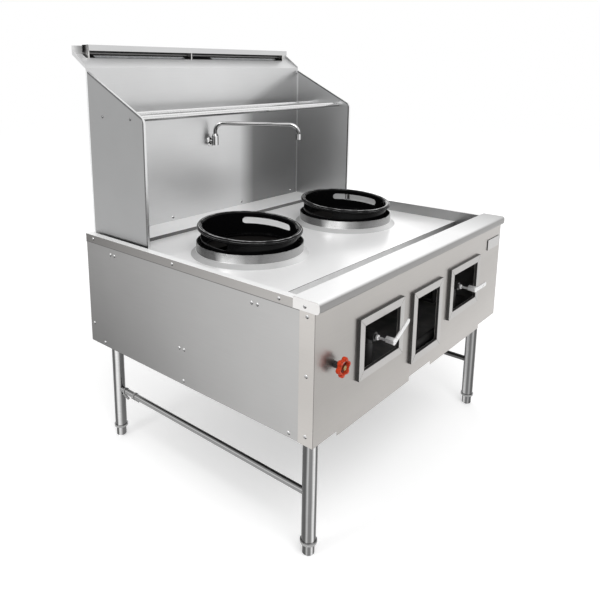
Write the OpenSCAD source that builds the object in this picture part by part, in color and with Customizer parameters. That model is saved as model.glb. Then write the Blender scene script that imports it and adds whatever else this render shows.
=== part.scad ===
// Two-ring wok range: a stainless body on tube legs, a recessed hob with two wok rings, a splashback with a
// flue outlet, a swing spout, a water handwheel and quarter-turn gas levers.
// Everything is laid out with the front panel's face at y = 0, the middle of the width at x = 0 and the floor
// at z = 0, and then moved so that the origin is the middle of the footprint.

/* [Body] */
// Width across the front panel
body_w = 1200; // [1100:10:1500]
// Depth from the front panel's face to the rear panel's face
body_d = 990; // [940:10:1150]
// Height of the panels' lower edge
body_bottom = 383; // [340:1:400]
// Height of the hob's rim
body_top = 778; // [765:1:800]
// Thickness of the panel sheet
sheet = 1.5; // [1:0.1:2]
// Width of the front panel's returns round the corners
corner_wrap = 48; // [30:1:60]
// Drop of the front panel's lower lip
lip_h = 14; // [8:1:20]
// Distance from the left side of the body to the end of the lower lip
lip_inset = 111; // [95:1:150]
// Distance from the right side of the body to the end of the lower lip
lip_inset_right = 150; // [95:1:180]
// Width of the gap in the lower lip
lip_gap = 146; // [100:1:200]
// Offset of the gap's middle from the centre
lip_gap_x = -18; // [-60:1:60]

/* [Hob] */
// Height of the folded edge band
band_h = 26; // [20:1:34]
// Width of the rim
rim_w = 25; // [16:1:32]
// Depth of the deck below the rim
deck_drop = 41; // [33:1:46]
// Height of the rear ledge above the deck
ledge_rise = 13; // [8:1:20]
// Depth of the rear ledge
ledge_d = 135; // [110:1:160]
// Width of the gutter
gutter_w = 105; // [85:1:118]
// Depth of the gutter below the deck
gutter_drop = 30; // [20:1:40]
// Outer radius of the gutter's drain spigot
drain_r = 21; // [16:1:25]
// Length of the drain spigot
drain_len = 45; // [30:1:60]
// Distance from the rim to the drain
drain_inset = 125; // [105:1:150]

/* [Front rail] */
// Overhang of the rail in front of the panel
rail_overhang = 13; // [8:1:18]
// Depth of the rail from nose to rear face
rail_d = 83; // [72:1:96]
// Height of the rail's top above the rim
rail_rise = 5; // [1:0.5:8]
// Radius of the rail's nose
rail_nose_r = 10; // [5:1:12]

/* [Front openings] */
// Distance between the two burner lines as a share of the body's width
burner_spacing_share = 0.4683; // [0.45:0.005:0.52]
// Width of a side window
window_w = 194; // [150:1:200]
// Height of a side window
window_h = 134; // [110:1:150]
// Height of the side windows' middle
window_z = 585; // [575:1:600]
// Width of the centre window
mid_window_w = 150; // [120:1:160]
// Height of the centre window
mid_window_h = 188; // [150:1:195]
// Height of the centre window's middle
mid_window_z = 549; // [540:1:570]
// Width of the window frames' face
frame_border = 24; // [16:1:26]
// Depth of the window frames in front of the panel
frame_d = 9; // [6:0.5:14]

/* [Wok rings] */
// Distance from the front panel's face to the rings' middle
ring_y = 511; // [490:1:540]
// Outer radius of the ring's wall
ring_r = 164; // [150:1:165]
// Thickness of the ring's wall
ring_wall = 4; // [3:0.5:6]
// Radius of the bead on the rim
bead_r = 8; // [5:0.5:9]
// Distance that the rim flares beyond the wall
ring_flare = 5; // [3:0.5:8]
// Height of the bead's middle above the seat
ring_h = 69; // [60:1:90]
// Lean of the ring towards the front, in degrees
ring_tilt = 3.8; // [0:0.1:6]
// Height of the ring's slots
ring_slot_h = 24; // [14:1:28]
// Distance from the bead's middle down to the slots
ring_slot_drop = 12; // [10:1:16]
// Direction of the right slot's middle from +X, in degrees
ring_slot_mid = 17; // [0:1:30]
// Angle that a slot spans, in degrees
ring_slot_span = 70; // [40:1:90]
// Gap between the ring's foot and the stainless collar
collar_gap = 4; // [2:1:12]
// Height of the collar
collar_h = 28.5; // [20:0.5:36]
// Thickness of the collar
collar_wall = 2; // [1.5:0.1:3]
// Width of the seat inside the collar
collar_seat = 14; // [10:1:18]
// Width of the slope from the collar down to the boss's foot
boss_run = 16; // [12:1:28]
// Height of the boss
boss_rise = 13; // [8:1:18]

/* [Burners] */
// Distance that the fire pot's outer wall lies beyond the ring's wall
pot_margin = 6; // [-4:1:8]
// Thickness of the fire pot's wall
pot_wall = 14; // [10:1:18]
// Height of the fire pot
pot_h = 188; // [160:1:200]
// Radius of the hole in the pot's floor
pot_floor_r = 95; // [85:1:110]
// Width of the pot's flue outlet
outlet_w = 160; // [120:1:180]
// Height of the pot's flue outlet
outlet_h = 70; // [50:1:80]
// Height of the flue outlet's lower edge
outlet_z = 650; // [640:1:660]
// Radius of the burner's head
burner_r = 75; // [60:1:78]
// Height of the burner's head
burner_h = 50; // [40:1:55]
// Height of the mixing tube's axis
mixer_z = 500; // [480:1:510]
// Radius of the mixing tube's mouth
mixer_mouth_r = 30; // [25:1:34]
// Distance from the front panel's face to the mixing tube's mouth
mixer_y = 195; // [180:1:230]

/* [Splashback] */
// Distance from the body's side to a wing's outer face
wing_inset = 34; // [20:1:50]
// Depth of the wings
wing_d = 299; // [280:1:330]
// Height of the wings at the back panel
wing_top = 1331; // [1300:1:1336]
// Height where a wing's slanted edge ends
wing_shoulder = 1195; // [1186:1:1220]
// Radius of the wing's front corner
wing_corner_r = 26; // [15:1:40]
// Width of the hemmed edge
hem_w = 8; // [5:1:10]
// Height of the back panel up to its kick-back
back_top = 1339; // [1337:1:1360]
// Radius of the rack tubes
rack_r = 10; // [7:0.5:12]
// Distance from the wings' slanted edge's end down to the rack tubes' axis
rack_drop = 13; // [11:1:45]
// Distance from the back panel's plane to the front rack tube
rack_front = 232; // [200:1:240]
// Distance from the back panel's plane to the rear rack tube
rack_rear = 83; // [70:1:120]

/* [Flue] */
// Depth of the kick-back
kick_d = 75; // [65:1:100]
// Rise of the kick-back
kick_rise = 46; // [30:1:60]
// Height of the lip behind the kick-back
flue_lip_h = 28; // [24:1:40]
// Width of the flue slot, measured level
slot_w = 17; // [12:1:20]
// Distance from the body's side to the end of the flue slot
slot_inset = 112; // [105:1:150]
// Distance from the slot to the lip
slot_margin = 2; // [1:0.5:4]
// Height of the kick-back's side flanges
flange_h = 14; // [8:1:18]
// Distance from the body's side to the end of the flue cap
cap_inset = 73; // [50:1:80]
// Depth of the flue cap
cap_w = 40; // [32:1:50]
// Height of the flue cap
cap_h = 20; // [14:1:24]
// Height of the cap's top above the lip
cap_rise = 3; // [0:0.5:4]
// Thickness of a cap spacer
spacer_t = 5; // [3:0.5:8]
// Offset of the middle spacer from the centre
spacer_shift = -48; // [-80:1:0]
// Distance from the centre to a flue duct's inner side
duct_in = 70; // [50:1:90]
// Distance from the body's side to a flue duct's outer side
duct_inset = 100; // [85:1:104]
// Depth of the flue ducts
duct_d = 73; // [60:1:74]
// Height of the flue ducts' lower end
duct_bottom = 630; // [615:1:640]

/* [Tap] */
// Height of the tap's inlet
tap_z = 1046; // [1000:1:1060]
// Distance from the back panel's plane to the tap's axis
tap_reach = 28; // [25:1:40]
// Radius of the tap's barrel
tap_r = 13; // [12:0.5:16]
// Height of the tap's barrel
tap_h = 46; // [40:1:55]
// Radius of the wall flange
tap_flange_r = 21; // [18:0.5:26]
// Thickness of the wall flange
tap_flange_t = 6; // [4:0.5:8]
// Radius of the spout tube
spout_r = 8; // [6:0.5:9]
// Height of the spout's level run
spout_z = 1121; // [1115:1:1140]
// Length of the spout's straight run
spout_run = 271; // [200:1:320]
// Bend radius above the barrel
spout_bend_r = 33; // [24:1:34]
// Bend radius at the outlet
outlet_bend_r = 36; // [24:1:36]
// Direction of the spout to the front of +X, in degrees
spout_turn = 59; // [40:1:80]
// Radius of the nozzle
nozzle_r = 10.5; // [9.5:0.5:13]
// Length of the nozzle
nozzle_h = 22; // [16:1:28]

/* [Controls] */
// Height of the gas valves' axis
valve_z = 580; // [575:1:590]
// Distance that a lever's spindle stands out of the front panel's plane
lever_reach = 43; // [35:1:50]
// Length of a lever from its spindle's axis
lever_len = 95; // [80:1:110]
// Width of a lever's strip
lever_w = 15; // [12:0.5:18]
// Thickness of a lever's strip
lever_t = 4; // [3:0.5:5]
// Length of a lever's bent leg
lever_leg = 23; // [15:1:25]
// Radius of the spindles
spindle_r = 4; // [3:0.25:5]
// Lift of the left lever above level, in degrees
left_lever_lift = 28; // [0:1:60]
// Distance from the left side to the handwheel's axis
wheel_inset = 92; // [80:1:110]
// Height of the handwheel's axis
wheel_z = 586; // [580:1:610]
// Distance from the front panel's face to the handwheel's middle
wheel_reach = 26; // [24:1:35]
// Radius of the handwheel
wheel_r = 27.5; // [24:0.5:34]
// Thickness of the handwheel
wheel_t = 14; // [11:0.5:16]
// Turn of the handwheel's first lobe above level, in degrees
wheel_turn = 10; // [0:1:59]
// Number of lobes on the handwheel's rim
wheel_lobes = 6; // [5:1:8]

/* [Legs] */
// Radius of the leg tube
leg_r = 21; // [19:0.5:25]
// Wall of the leg tube
leg_wall = 1.5; // [1.2:0.1:2]
// Distance from the body's side to a leg's axis
leg_inset_x = 67; // [55:1:80]
// Distance from the body's front and rear to a leg's axis
leg_inset_y = 56; // [50:1:80]
// Height of the foot below the socket
foot_h = 36; // [30:1:50]
// Radius of the foot
foot_r = 17.8; // [15:0.1:20]
// Radius of the foot's stud
stud_r = 8; // [6:0.5:10]
// Length of the foot's stud
stud_len = 38; // [34:1:44]
// Radius of the socket's flange
socket_r = 24.7; // [22:0.1:28]
// Thickness of the socket's flange
socket_t = 7; // [4:1:10]
// Radius of the stretcher tubes
stretcher_r = 10.5; // [8:0.5:13]
// Height of the stretchers' axis
stretcher_z = 187; // [150:1:240]

/* [Gas and water] */
// Outer radius of the gas pipe
gas_r = 13.5; // [10:0.5:14]
// Height of the gas manifold's axis
gas_z = 440; // [438:1:445]
// Distance from the body's side to the gas main
gas_inset = 160; // [140:1:180]
// Outer radius of the gas feeds
feed_r = 8; // [6:0.5:10]
// Outer radius of the water pipes
water_r = 10.5; // [8:0.5:11]
// Height of the water supply pipe's axis
supply_z = 500; // [490:1:520]
// Distance that the inlets stand out of the rear panel
inlet_len = 40; // [30:1:60]
// Outer radius of the gas inlet's thread
gas_inlet_r = 16.6; // [15:0.1:20]
// Outer radius of the water inlet's thread
water_inlet_r = 13.2; // [12:0.1:16]

/* [Fixings] */
// Radius of the screw heads
screw_r = 5.5; // [4:0.5:7]
// Height of the screw heads
screw_h = 2.5; // [1.5:0.5:3]

/* [Hidden] */
$fn = 64;
// Overrun of every cut, clearance of fixed fits and radial clearance of running fits
over = 1;
fit = 0.3;
running = 0.05;

// Colours
steel = [0.76, 0.76, 0.75];
bright_steel = [0.82, 0.83, 0.84];
black_iron = [0.07, 0.07, 0.08];
dark_iron = [0.20, 0.20, 0.21];
chrome = [0.85, 0.86, 0.88];
red_paint = [0.80, 0.16, 0.09];
brass = [0.72, 0.58, 0.32];
zinc = [0.62, 0.64, 0.66];

// Body planes
half_w = body_w / 2;
side_face = half_w - sheet;
skin_in = side_face - sheet;
band_bottom = body_top - band_h;
rim_under = body_top - sheet;
rail_front = -rail_overhang;
rail_rear = rail_front + rail_d;
rail_top = body_top + rail_rise;
rim_in = half_w - rim_w;
deck_z = body_top - deck_drop;
deck_front = rail_rear + gutter_w;
ledge_y = body_d - ledge_d;
ledge_z = deck_z + ledge_rise;
gutter_z = deck_z - gutter_drop;
boss_z = deck_z + boss_rise;
ring_flange_w = 10;
collar_r = ring_r + ring_flange_w + collar_gap + collar_wall;
boss_top_r = collar_r + collar_wall;
boss_r = boss_top_r + boss_run;
mouth_r = collar_r - collar_seat;
burner_x = body_w * burner_spacing_share / 2;

// Base frame of steel angle
angle_w = 40;
angle_t = 4;
gusset_w = 110;
pan_top = body_bottom + angle_t + sheet;
drain_clear = 9;

// Ring seat and the ring's profile below the bead
seat_t = 2;
seat_z = boss_z + seat_t;
ring_foot_in = 14;
ring_flange_t = 4;
bead_z = seat_z + fit + ring_h;

// Fire pot
pot_r = ring_r + pot_margin;
pot_top = boss_z - sheet;
pot_bottom = pot_top - pot_h;
pot_flange_w = 6;
pot_flange_t = 8;
pot_floor_t = 15;
outlet_wall = 3;

// Burner
head_z = pot_bottom - pot_floor_t;
head_profile_shares = [[0, 0], [0.5, 0], [1, 0.35], [1, 0.78], [0.82, 1], [0.34, 1], [0.26, 0.86], [0, 0.86]];
neck_r_share = 0.42;
port_count = 16;
port_w = 4;
port_inner_share = 0.45;
port_outer_share = 0.78;
port_depth_share = 0.3;
throat_r_share = 0.62;
throat_place_share = 0.3;
mixer_wall = 4;
post_r = 18;
mouth_bar_w = 16;
mouth_bar_t = 5;

// Window frames
frame_sheet = 2;
mitre_w = 0.8;

// Splashback
wing_x = half_w - wing_inset;
wing_front = body_d - wing_d;
back_face = body_d - sheet;
corner_steps = 8;
rack_wall = 1.2;
rack_z = wing_shoulder - rack_drop;
kick_slope = kick_rise / kick_d;
flue_lip_y = body_d + kick_d;
flue_lip_base = back_top + kick_rise;
flue_lip_top = flue_lip_base + flue_lip_h;
slot_end = half_w - slot_inset;
slot_rear = flue_lip_y - slot_margin;
slot_front = slot_rear - slot_w;
cap_end = half_w - cap_inset;
cap_top = flue_lip_top + cap_rise;
cap_front = flue_lip_y - cap_w;
spacer_front = slot_front - spacer_t;
spacer_rear = slot_rear;
spacer_end_inset = 10;
duct_flange = 12;
duct_out = half_w - duct_inset;

// Tap
tap_y = body_d - tap_reach;
tap_bottom = tap_z - tap_r - fit;
tap_top = tap_bottom + tap_h;
tap_cone_h = 9;
tap_cone_share = 0.76;
shank_r = 9;
shank_len = 10;
riser_insert = 30;
nozzle_bore_share = 0.62;
outlet_x = spout_bend_r + spout_run + outlet_bend_r;
outlet_drop = spout_z - outlet_bend_r;

// Gas valves and levers
valve_r = 14;
valve_len = 46;
valve_y = 16;
gland_r = 8;
gland_len = 10;
valve_rear = valve_y + valve_len;
valve_boss_r = 12;
valve_foot = valve_z - valve_r - valve_boss_r;
valve_bore_len = 24;
lever_front = lever_reach + lever_t;
collar_nut_r = 6.5;

// Handwheel and water valve
wheel_x = wheel_inset - half_w;
wheel_core_share = 0.78;
wheel_lobe_share = 0.3;
wheel_window_share = 0.6;
wheel_hub_share = 0.3;
wheel_spokes = 3;
wheel_spoke_w = 7;
wheel_ease = 3;
wheel_recess = 6;
wheel_nut_r = 7.5;
wheel_nut_t = 5;
bonnet_r = 9;
bonnet_len = 12;
water_valve_y = 22;
water_valve_r = 15;
water_valve_len = 40;
water_valve_rear = water_valve_y + water_valve_len;
water_port_y = water_valve_y + water_valve_len / 2;
water_port_r = 12.5;
water_port_h = 26;

// Legs
leg_x = half_w - leg_inset_x;
leg_front = leg_inset_y;
leg_rear = body_d - leg_inset_y;
leg_foot = foot_h + socket_t;
plug_len = 34;
foot_chamfer = 3;
foot_base_share = 0.84;
leg_places = [[-leg_x, leg_front], [leg_x, leg_front], [-leg_x, leg_rear], [leg_x, leg_rear]];

// Fittings under the left stretcher: a slanted stub and a level rod on clips
stub_r = 5;
stub_len = 30;
stub_lean = 20;
rod_r = 3.5;
rod_len = 40;
stub_inset = 39;
rod_inset = 94;
clip_w = 8;
clip_post_r = 2.5;

// Gas and water runs
gas_x = half_w - gas_inset;
manifold_y = 40;
feed_down_y = 110;
injector_r = 10;
injector_len = 12;
rear_run_gap = 32;
rear_run_y = body_d + rear_run_gap;
inlet_end = body_d + inlet_len;
inlet_thread = 25;
inlet_wall = 4;

// Screw places: along the side as shares of the depth, heights as shares of the side panel's height
side_h = band_bottom - body_bottom;
band_screw_shares = [0.117, 0.541, 0.958];
cap_screw_share = 0.54;
wrap_screw_shares = [0.07, 0.53, 0.967];
pair_places_shares = [[0.204, 0.933], [0.851, 0.933], [0.508, 0.32]];
single_places_shares = [[0.081, 0.036], [0.503, 0.036], [0.919, 0.036], [0.98, 0.188]];
pair_gap = 21;
back_screw_shares = [-0.37, 0.32, 0.92];
back_screw_rise = 14;

// Middle of the footprint, from the lever's face to the flue lip's rear face
mid_y = (flue_lip_y + sheet - lever_front) / 2;

// Helpers

// Moves a piece from the front panel's frame to the part's frame.
module place() translate([0, -mid_y, 0]) children();

// Side 1 is the right side as drawn, side -1 its mirror image.
module on_side(side) {
    if (side < 0) mirror([1, 0, 0]) children();
    else children();
}

module box(low, high) translate(low) cube(high - low);

module along_x() rotate([0, 90, 0]) children();

module along_y() rotate([-90, 0, 0]) children();

// Extrudes an outline in y and z from x = low to x = high.
module extrude_x(low, high) translate([low, 0, 0]) rotate([90, 0, 90]) linear_extrude(high - low) children();

module tube(r, wall, h) difference() {
    cylinder(r = r, h = h);
    translate([0, 0, -over]) cylinder(r = r - wall, h = h + 2 * over);
}

// Round bar between two points.
module bar(from, to, r) {
    step = to - from;
    len = norm(step);
    translate(from) rotate([0, acos(step.z / len), atan2(step.y, step.x)]) cylinder(r = r, h = len);
}

// Pipe along a list of points, with round corners.
module pipe_run(points, r) {
    for (i = [1 : len(points) - 1]) bar(points[i - 1], points[i], r);
    for (i = [1 : len(points) - 2]) translate(points[i]) sphere(r = r);
}

// Quarter bend about the y axis, from the +x end to the +z end.
module bend(bend_r, r) rotate([90, 0, 0]) rotate_extrude(angle = 90) translate([bend_r, 0]) circle(r = r);

function kick_z(y) = back_top + (y - body_d) * kick_slope;

// Body panels

module window_cut(x, z, w, h) box([x - w / 2, -over, z - h / 2], [x + w / 2, sheet + over, z + h / 2]);

module front_panel() color(steel) place() difference() {
    union() {
        box([-half_w, 0, body_bottom], [half_w, sheet, band_bottom]);
        for (side = [-1, 1]) on_side(side)
            box([side_face, 0, body_bottom], [half_w, corner_wrap, band_bottom]);
        box([lip_inset - half_w, 0, body_bottom - lip_h],
            [lip_gap_x - lip_gap / 2, sheet, body_bottom + over]);
        box([lip_gap_x + lip_gap / 2, 0, body_bottom - lip_h],
            [half_w - lip_inset_right, sheet, body_bottom + over]);
    }
    for (side = [-1, 1]) window_cut(side * burner_x, window_z, window_w, window_h);
    window_cut(0, mid_window_z, mid_window_w, mid_window_h);
    translate([wheel_x, -over, wheel_z]) along_y() cylinder(r = bonnet_r + fit, h = sheet + 2 * over);
}

module side_panel(side) color(steel) place() on_side(side) difference() {
    box([skin_in, sheet, body_bottom], [side_face, back_face, rim_under]);
    box([skin_in - over, 0, band_bottom], [side_face + over, rail_rear, body_top]);
}

module rear_panel() color(steel) place() difference() {
    box([-side_face, back_face, body_bottom], [side_face, body_d, ledge_z - sheet]);
    for (side = [-1, 1])
        box([side * burner_x - outlet_w / 2 - fit, back_face - over, outlet_z - fit],
            [side * burner_x + outlet_w / 2 + fit, body_d + over, outlet_z + outlet_h + fit]);
    for (hole = [[-gas_x, gas_z, gas_r], [wheel_x, supply_z, water_r], [wheel_x, wheel_z, water_r]])
        translate([hole.x, back_face - over, hole.y]) along_y()
            cylinder(r = hole.z + fit, h = sheet + 2 * over);
}

module base_frame() color(dark_iron) place() difference() {
    box([-skin_in, sheet, body_bottom], [skin_in, back_face, body_bottom + angle_w]);
    box([angle_t - skin_in, sheet + angle_t, body_bottom + angle_t],
        [skin_in - angle_t, back_face - angle_t, body_bottom + angle_w + over]);
    difference() {
        box([angle_w - skin_in, sheet + angle_w, body_bottom - over],
            [skin_in - angle_w, back_face - angle_w, body_bottom + angle_t + over]);
        for (side = [-1, 1]) on_side(side) {
            box([skin_in - gusset_w, sheet, body_bottom - over],
                [skin_in, sheet + gusset_w, body_bottom + angle_t]);
            box([skin_in - gusset_w, back_face - gusset_w, body_bottom - over],
                [skin_in, back_face, body_bottom + angle_t]);
        }
    }
}

// Base pan, with a hole for the waste pipe under the drain.
module base_pan() color(steel) place() difference() {
    box([angle_t + fit - skin_in, sheet + angle_t + fit, body_bottom + angle_t],
        [skin_in - angle_t - fit, back_face - angle_t - fit, pan_top]);
    translate([rim_in - drain_inset, rail_rear + gutter_w / 2, body_bottom])
        cylinder(r = drain_r + drain_clear, h = body_top - body_bottom);
}

// Hob

module boss() rotate_extrude() polygon([
    [boss_r, deck_z - sheet], [boss_r, deck_z], [boss_top_r, boss_z], [mouth_r, boss_z],
    [mouth_r, boss_z - sheet], [boss_top_r, boss_z - sheet]
]);

module hob_top() color(steel) place() {
    difference() {
        box([-rim_in - sheet, deck_front, deck_z - sheet], [rim_in + sheet, ledge_y + sheet, deck_z]);
        for (side = [-1, 1]) translate([side * burner_x, ring_y, 0])
            cylinder(r = boss_r - sheet / 2, h = body_top);
    }
    for (side = [-1, 1]) translate([side * burner_x, ring_y, 0]) boss();
    box([-rim_in - sheet, ledge_y, deck_z - sheet], [rim_in + sheet, ledge_y + sheet, ledge_z]);
    box([-rim_in - sheet, ledge_y, ledge_z - sheet], [rim_in + sheet, body_d, ledge_z]);
    for (side = [-1, 1]) on_side(side) {
        box([rim_in, rail_rear, deck_z - sheet], [rim_in + sheet, back_face, body_top]);
        box([rim_in, rail_rear, rim_under], [half_w, body_d, body_top]);
        box([side_face, rail_rear, band_bottom], [half_w, body_d, body_top]);
        box([rim_in, back_face, ledge_z - sheet], [half_w, body_d, body_top]);
    }
}

module gutter() color(steel) place() difference() {
    union() {
        box([-rim_in - sheet, rail_rear - sheet, gutter_z - sheet],
            [rim_in + sheet, deck_front + sheet, gutter_z]);
        box([-rim_in - sheet, rail_rear - sheet, gutter_z - sheet], [rim_in + sheet, rail_rear, band_bottom]);
        box([-rim_in - sheet, deck_front, gutter_z - sheet],
            [rim_in + sheet, deck_front + sheet, deck_z - sheet]);
        for (side = [-1, 1]) on_side(side)
            box([rim_in, rail_rear - sheet, gutter_z - sheet],
                [rim_in + sheet, deck_front + sheet, deck_z - sheet]);
        translate([rim_in - drain_inset, rail_rear + gutter_w / 2, gutter_z - drain_len])
            cylinder(r = drain_r, h = drain_len);
    }
    translate([rim_in - drain_inset, rail_rear + gutter_w / 2, gutter_z - drain_len - over])
        cylinder(r = drain_r - sheet, h = drain_len + 2 * over);
}

// Rail outline in y and z, drawn in by the given wall.
module rail_outline(inset) {
    nose = rail_nose_r - inset;
    translate([rail_front + rail_nose_r, band_bottom + inset])
        square([rail_d - rail_nose_r - inset, rail_top - band_bottom - 2 * inset]);
    translate([rail_front + inset, band_bottom + rail_nose_r])
        square([rail_nose_r, rail_top - band_bottom - 2 * rail_nose_r]);
    for (z = [band_bottom + rail_nose_r, rail_top - rail_nose_r])
        translate([rail_front + rail_nose_r, z]) circle(r = nose);
}

module front_rail() color(steel) place() extrude_x(-side_face, side_face) difference() {
    rail_outline(0);
    rail_outline(sheet);
}

module rail_cap(side) color(steel) place() on_side(side) extrude_x(side_face, half_w) rail_outline(0);

// Window frames: folded faces with side walls, mitred at the corners.
module window_frame(x, z, w, h) color(steel) place() translate([x, 0, z]) difference() {
    box([-w / 2 - frame_border, -frame_d, -h / 2 - frame_border],
        [w / 2 + frame_border, 0, h / 2 + frame_border]);
    box([-w / 2, -frame_d - over, -h / 2], [w / 2, over, h / 2]);
    difference() {
        box([frame_sheet - w / 2 - frame_border, frame_sheet - frame_d, frame_sheet - h / 2 - frame_border],
            [w / 2 + frame_border - frame_sheet, over, h / 2 + frame_border - frame_sheet]);
        box([-w / 2 - frame_sheet, -frame_d, -h / 2 - frame_sheet],
            [w / 2 + frame_sheet, 2 * over, h / 2 + frame_sheet]);
    }
    for (sx = [-1, 1], sz = [-1, 1])
        translate([sx * w / 2, -frame_d, sz * h / 2]) rotate([0, -sx * sz * 45, 0])
            translate([sx > 0 ? -over : -2 * frame_border, -mitre_w, -mitre_w / 2])
                cube([2 * frame_border + over, 2 * mitre_w, mitre_w]);
}

// Wok rings and collars

module ring_collar(side) color(bright_steel) place() translate([side * burner_x, ring_y, boss_z]) {
    tube(collar_r, collar_wall, collar_h);
    tube(collar_r, collar_seat, seat_t);
}

// Ring outline: wall, flare and bead, with the bead's middle at z = 0.
module ring_outline() {
    polygon([
        [ring_r - ring_wall, -ring_h - ring_wall], [ring_r, -ring_h - ring_wall],
        [ring_r, -ring_flare], [ring_r + ring_flare, 0], [ring_r + ring_flare - bead_r, bead_r / 2],
        [ring_r - ring_wall, bead_r - ring_flare]
    ]);
    translate([ring_r + ring_flare, 0]) circle(r = bead_r);
}

// Slot through the ring's wall with round ends, its middle at the given direction.
module ring_slot_cut(direction) {
    mid = -ring_slot_drop - ring_slot_h / 2;
    end = ring_slot_h / 2 - fit;
    half_span = ring_slot_span / 2 - asin(end / ring_r);
    far = 2 * ring_r;
    rotate([0, 0, direction]) {
        translate([0, 0, -ring_slot_drop - ring_slot_h]) linear_extrude(ring_slot_h) polygon([
            [0, 0], far * [cos(half_span), -sin(half_span)], [far, 0], far * [cos(half_span), sin(half_span)]
        ]);
        for (turn = [-half_span, half_span]) rotate([0, 0, turn])
            translate([ring_r / 2, 0, mid]) rotate([-90 * sign(turn), 0, 0]) along_x()
                cylinder(r = end, h = ring_r);
    }
}

// Wok ring: leans towards the front on a level foot.
module wok_ring(side) color(black_iron) place() translate([side * burner_x, ring_y, 0]) {
    difference() {
        translate([0, 0, bead_z]) rotate([ring_tilt, 0, 0]) difference() {
            rotate([0, 0, -90]) rotate_extrude() ring_outline();
            ring_slot_cut(ring_slot_mid);
            ring_slot_cut(180 - ring_slot_mid);
        }
        translate([0, 0, seat_z + fit + ring_flange_t / 2 - ring_h]) cylinder(r = boss_r, h = ring_h);
    }
    translate([0, 0, seat_z + fit]) tube(ring_r + ring_flange_w, ring_flange_w + ring_foot_in, ring_flange_t);
}

// Combustion

module fire_pot(side) color(dark_iron) place() translate([side * burner_x, 0, 0]) difference() {
    union() {
        translate([0, ring_y, pot_bottom]) cylinder(r = pot_r, h = pot_h);
        translate([0, ring_y, pot_top - pot_flange_t]) cylinder(r = pot_r + pot_flange_w, h = pot_flange_t);
        box([-outlet_w / 2, ring_y, outlet_z], [outlet_w / 2, body_d, outlet_z + outlet_h]);
    }
    translate([0, ring_y, pot_bottom + pot_floor_t]) cylinder(r = pot_r - pot_wall, h = pot_h);
    translate([0, ring_y, pot_bottom - over]) cylinder(r = pot_floor_r, h = pot_h);
    box([outlet_wall - outlet_w / 2, ring_y, outlet_z + outlet_wall],
        [outlet_w / 2 - outlet_wall, body_d + over, outlet_z + outlet_h - outlet_wall]);
}

module burner(side) color(black_iron) place() translate([side * burner_x, ring_y, 0]) {
    neck_r = burner_r * neck_r_share;
    mixer_len = ring_y - mixer_y;
    difference() {
        union() {
            translate([0, 0, head_z]) rotate_extrude()
                polygon([for (p = head_profile_shares) [p.x * burner_r, p.y * burner_h]]);
            translate([0, 0, mixer_z - neck_r]) cylinder(r = neck_r, h = head_z - mixer_z + 2 * neck_r);
            translate([0, 0, pan_top]) cylinder(r = post_r, h = mixer_z - pan_top);
            translate([0, -mixer_len, mixer_z]) along_y() rotate_extrude() polygon([
                [0, 0], [mixer_mouth_r, 0], [mixer_mouth_r * throat_r_share, mixer_len * throat_place_share],
                [mixer_mouth_r * throat_r_share, mixer_len], [0, mixer_len]
            ]);
        }
        translate([0, -mixer_len, mixer_z]) along_y() rotate_extrude() polygon([
            [0, -over], [mixer_mouth_r - mixer_wall, -over],
            [mixer_mouth_r * throat_r_share - mixer_wall, mixer_len * throat_place_share],
            [mixer_mouth_r * throat_r_share - mixer_wall, mixer_len - neck_r], [0, mixer_len - neck_r]
        ]);
        for (i = [0 : port_count - 1]) rotate([0, 0, i * 360 / port_count])
            box([burner_r * port_inner_share, -port_w / 2, head_z + burner_h * (1 - port_depth_share)],
                [burner_r * port_outer_share, port_w / 2, head_z + burner_h + over]);
    }
    box([-mouth_bar_w / 2, -mixer_len, mixer_z - mixer_mouth_r + mixer_wall / 2],
        [mouth_bar_w / 2, mouth_bar_t - mixer_len, mixer_z + mixer_mouth_r - mixer_wall / 2]);
}

// Splashback

module wing_outline() {
    slant = atan2(wing_top - wing_shoulder, wing_d - wing_corner_r);
    arc_y = wing_front + wing_corner_r;
    arc_z = wing_shoulder - wing_corner_r;
    polygon(concat(
        [[back_face, wing_top]],
        [for (i = [0 : corner_steps]) let (a = 90 + slant + (90 - slant) * i / corner_steps)
            [arc_y + wing_corner_r * cos(a), arc_z + wing_corner_r * sin(a)]],
        [[wing_front, deck_z], [ledge_y, deck_z], [ledge_y, ledge_z], [back_face, ledge_z]]
    ));
}

module wing(side) color(steel) place() on_side(side) {
    extrude_x(wing_x - sheet, wing_x) wing_outline();
    extrude_x(wing_x - hem_w, wing_x) intersection() {
        difference() {
            wing_outline();
            translate([hem_w, -hem_w]) wing_outline();
        }
        translate([wing_front, ledge_z + hem_w]) square([wing_d - sheet, wing_top]);
    }
}

module back_panel() color(steel) place() difference() {
    union() {
        box([-wing_x, back_face, ledge_z], [wing_x, body_d, back_top]);
        extrude_x(-wing_x, wing_x) polygon([
            [back_face, back_top - sheet], [back_face, kick_z(back_face)], [flue_lip_y, flue_lip_base],
            [flue_lip_y, flue_lip_base - 2 * sheet], [body_d, back_top - 2 * sheet]
        ]);
        for (side = [-1, 1]) on_side(side) extrude_x(wing_x - sheet, wing_x) polygon([
            [back_face, kick_z(back_face)], [flue_lip_y, flue_lip_base], [flue_lip_y, flue_lip_base + flange_h],
            [back_face, kick_z(back_face) + flange_h / 2]
        ]);
    }
    for (side = [-1, 1]) on_side(side)
        box([duct_in + sheet, slot_front, back_top], [slot_end, slot_rear, flue_lip_top]);
    translate([0, back_face - over, tap_z]) along_y() cylinder(r = shank_r + fit, h = sheet + 2 * over);
}

// Lip that closes the kick-back's rear edge, behind the slots.
module flue_lip() color(steel) place()
    box([-wing_x, flue_lip_y, flue_lip_base - 2 * sheet], [wing_x, flue_lip_y + sheet, flue_lip_top]);

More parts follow.
